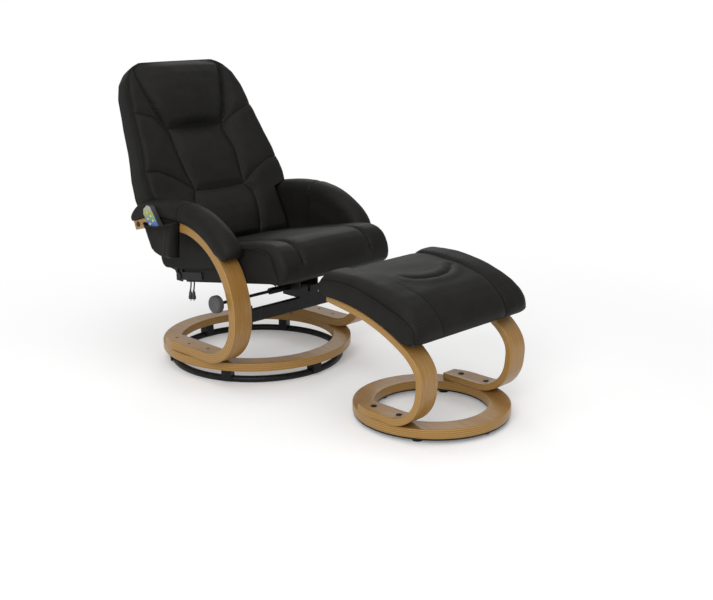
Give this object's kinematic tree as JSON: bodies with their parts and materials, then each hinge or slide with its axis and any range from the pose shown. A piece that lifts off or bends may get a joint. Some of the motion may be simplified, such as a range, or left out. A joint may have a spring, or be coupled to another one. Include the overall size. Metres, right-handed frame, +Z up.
{
  "type": "massage recliner with footstool",
  "caption": "Padded massage recliner on a bentwood swivel base with a matching footstool; the back leans as the seat glides forward and a remote sits in a side pocket.",
  "frame": {"origin": "on the floor, on the chair's swivel axis, in the middle of the steel floor ring", "axes": "+Z up along the swivel axis, the sitter faces -Y towards the footstool, +X to the sitter's left"},
  "size_m": [0.6693, 1.4674, 0.9762],
  "materials": {
    "beech": "satin lacquer",
    "board": "raw",
    "leather": "fine grain, soft sheen",
    "black_steel": "satin black",
    "bright_steel": "zinc bright",
    "grey_plastic": "matte dark grey",
    "handset_plastic": "satin",
    "webbing": "woven",
    "heat_cloth": "woven",
    "button_plastic": "satin"
  },
  "bodies": {
    "floor_base": {"floor_ring": "black_steel"},
    "turntable": {"base_ring": "beech", "ring_saddles": "black_steel", "saddle_screws": "bright_steel", "right_arm_frame": "beech", "left_arm_frame": "beech", "foot_bolts": "bright_steel", "foot_nuts": "bright_steel", "right_arm_pad": "leather", "left_arm_pad": "leather", "arm_pad_screws": "black_steel", "crossbar": "black_steel", "crossbar_screws": "bright_steel", "glide_bracket": "black_steel", "glide_rails": "bright_steel", "clamp_jaws": "black_steel", "pivot_bolts": "bright_steel", "pivot_bushes": "grey_plastic", "pocket": "leather"},
    "lock": {"lock_rod": "black_steel", "lock_knob": "grey_plastic"},
    "handset_unit": {"handset": "handset_plastic"},
    "power_key": {"power_button": "button_plastic"},
    "heat_key": {"heat_button": "button_plastic"},
    "back_key": {"back_button": "button_plastic"},
    "seat_key": {"seat_button": "button_plastic"},
    "level_key": {"level_button": "button_plastic"},
    "seat": {"seat_frame": "board", "seat_cover": "leather", "seat_webbing": "webbing", "seat_cushion": "leather", "seat_runners": "black_steel", "lock_plate": "bright_steel", "seat_motors": "grey_plastic", "control_box": "grey_plastic", "link_plates": "black_steel", "adaptor_lead": "grey_plastic", "stool_lead": "grey_plastic", "adaptor_connector": "grey_plastic", "stool_connector": "grey_plastic"},
    "seat_weights": {"seat_rotors": "bright_steel"},
    "back": {"back_frame": "black_steel", "back_shell": "leather", "back_webbing": "webbing", "back_cushion": "leather", "head_cushion": "leather", "back_motors": "grey_plastic", "heat_pad": "heat_cloth", "hinge_plates": "black_steel"},
    "lumbar_weights": {"lumbar_rotors": "bright_steel"},
    "shoulder_weights": {"shoulder_rotors": "bright_steel"},
    "footstool": {"stool_ring": "beech", "stool_facing": "grey_plastic", "stool_glides": "grey_plastic", "stool_right_leg": "beech", "stool_left_leg": "beech", "stool_bolts": "black_steel", "stool_nuts": "bright_steel", "stool_board": "board", "stool_cushion": "leather"}
  },
  "joints": [
    {"name": "base_swivel", "type": "hinge", "parent": "floor_base", "child": "turntable", "pos_m": [0, 0, 0.0105], "axis": [0, 0, 1], "continuous": true},
    {"name": "back_recline", "type": "hinge", "parent": "turntable", "child": "back", "pos_m": [0, 0.2176, 0.4716], "axis": [-1, 0, 0], "range_deg": [0, 25]},
    {"name": "seat_glide", "type": "slide", "parent": "turntable", "child": "seat", "axis": [0, -0.9863, 0.165], "range_m": [0, 0.06]},
    {"name": "lock_turn", "type": "hinge", "parent": "turntable", "child": "lock", "pos_m": [-0.321, -0.20522, 0.287], "axis": [1, 0, 0], "range_deg": [0, 180]},
    {"name": "handset_lift", "type": "slide", "parent": "turntable", "child": "handset_unit", "axis": [0, 0.6157, 0.788], "range_m": [0, 0.15]},
    {"name": "power_press", "type": "slide", "parent": "handset_unit", "child": "power_key", "axis": [1, 0, 0], "range_m": [0, 0.001], "stiffness_N_per_m": 250},
    {"name": "heat_press", "type": "slide", "parent": "handset_unit", "child": "heat_key", "axis": [1, 0, 0], "range_m": [0, 0.001], "stiffness_N_per_m": 250},
    {"name": "back_press", "type": "slide", "parent": "handset_unit", "child": "back_key", "axis": [1, 0, 0], "range_m": [0, 0.001], "stiffness_N_per_m": 250},
    {"name": "seat_press", "type": "slide", "parent": "handset_unit", "child": "seat_key", "axis": [1, 0, 0], "range_m": [0, 0.001], "stiffness_N_per_m": 250},
    {"name": "level_press", "type": "slide", "parent": "handset_unit", "child": "level_key", "axis": [1, 0, 0], "range_m": [0, 0.001], "stiffness_N_per_m": 250},
    {"name": "seat_spin", "type": "hinge", "parent": "seat", "child": "seat_weights", "pos_m": [0, -0.06974, 0.34382], "axis": [1, 0, 0], "continuous": true},
    {"name": "lumbar_spin", "type": "hinge", "parent": "back", "child": "lumbar_weights", "pos_m": [0, 0.22085, 0.52297], "axis": [1, 0, 0], "continuous": true},
    {"name": "shoulder_spin", "type": "hinge", "parent": "back", "child": "shoulder_weights", "pos_m": [0, 0.33821, 0.7437], "axis": [1, 0, 0], "continuous": true},
    {"name": "footstool_place", "type": "slide", "parent": "floor_base", "child": "footstool", "axis": [0, -1, 0], "range_m": [0, 0.3]}
  ],
  "couplings": [
    {"joint": "seat_glide", "follows": "back_recline", "m_per_rad": 0.1375}
  ]
}
